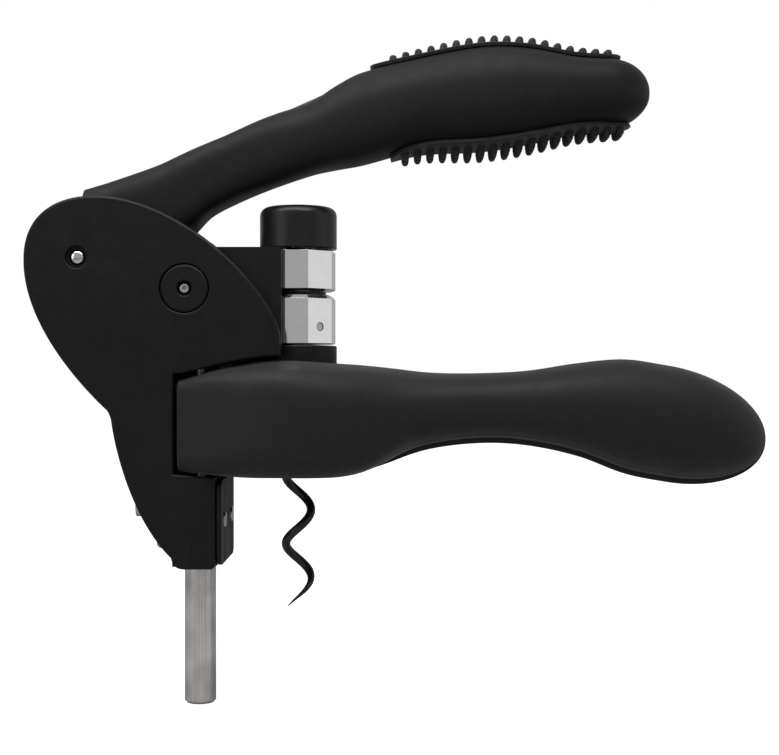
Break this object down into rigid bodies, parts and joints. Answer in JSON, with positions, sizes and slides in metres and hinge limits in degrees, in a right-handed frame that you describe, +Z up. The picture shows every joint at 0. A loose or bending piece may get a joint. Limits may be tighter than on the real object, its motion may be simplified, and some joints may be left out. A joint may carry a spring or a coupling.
{
  "type": "lever corkscrew",
  "caption": "Lever corkscrew with forked lever, sliding carriage with coated worm and chrome head, side plates, guide rod and two hinged neck-gripping handles.",
  "frame": {"origin": "on the worm's axis, in the plane where the bottle's rim meets the stop", "axes": "+Z up, away from the bottle; +X along the closed handles to their free ends; +Y to the left handle"},
  "size_m": [0.1745, 0.0426, 0.159],
  "materials": {
    "black_plastic": "fine satin moulded black",
    "soft_touch": "soft-touch charcoal coating",
    "rubber": "black nubbed rubber",
    "cast_black": "black satin coat on die casting",
    "nylon": "dark bearing plastic",
    "chrome": "polished chrome",
    "steel": "satin drawn steel",
    "worm_coating": "black low-friction coating",
    "grey_badge": "plain grey satin"
  },
  "bodies": {
    "housing": {"left_side_plate": "black_plastic", "right_side_plate": "black_plastic", "spine_block": "black_plastic", "upper_rod_bush": "nylon", "lower_rod_bush": "nylon", "tail_dowel": "steel", "tail_cover": "black_plastic", "rear_screw": "steel", "left_cover_screw": "steel", "right_cover_screw": "steel", "lever_pivot_pin": "steel", "pivot_spacer": "nylon", "left_guide_pad": "nylon", "right_guide_pad": "nylon", "left_adjuster_screw": "steel", "right_adjuster_screw": "steel", "nut_holder": "black_plastic", "guide_nut": "nylon", "holder_screw": "steel", "left_hinge_pin": "steel", "right_hinge_pin": "steel"},
    "lever": {"lever_body": "soft_touch", "upper_grip_pad": "rubber", "lower_grip_pad": "rubber", "lever_badge": "grey_badge", "left_drive_pin": "steel", "right_drive_pin": "steel"},
    "carriage": {"carriage": "cast_black", "guide_rod": "steel", "rod_screw": "steel", "head_collar": "chrome", "collar_screw": "steel", "head_cap": "black_plastic", "thrust_washer": "nylon"},
    "worm_head": {"spindle": "steel", "worm_chuck": "chrome", "set_screw": "steel", "worm": "worm_coating"},
    "left_handle": {"left_handle_core": "nylon", "left_handle_shell": "soft_touch", "left_neck_pad": "rubber"},
    "right_handle": {"right_handle_core": "nylon", "right_handle_shell": "soft_touch", "right_neck_pad": "rubber"}
  },
  "joints": [
    {"name": "lever_pivot", "type": "hinge", "parent": "housing", "child": "lever", "pos_m": [-0.0503, 0, 0.0341], "axis": [0, -1, 0], "range_deg": [0, 109.5]},
    {"name": "carriage_slide", "type": "slide", "parent": "housing", "child": "carriage", "axis": [0, 0, 1], "range_m": [0, 0.04901]},
    {"name": "worm_spin", "type": "hinge", "parent": "carriage", "child": "worm_head", "pos_m": [0, 0, 0], "axis": [0, 0, 1], "range_deg": [0, 1084]},
    {"name": "left_handle_hinge", "type": "hinge", "parent": "housing", "child": "left_handle", "pos_m": [-0.0218, 0.0128, 0], "axis": [0, 0, 1], "range_deg": [0, 18]},
    {"name": "right_handle_hinge", "type": "hinge", "parent": "housing", "child": "right_handle", "pos_m": [-0.0218, -0.0128, 0], "axis": [0, 0, -1], "range_deg": [0, 18]}
  ],
  "couplings": [
    {"joint": "carriage_slide", "follows": "lever_pivot", "m_per_rad": 0.025638},
    {"joint": "worm_spin", "follows": "lever_pivot", "ratio": 9.8827}
  ]
}
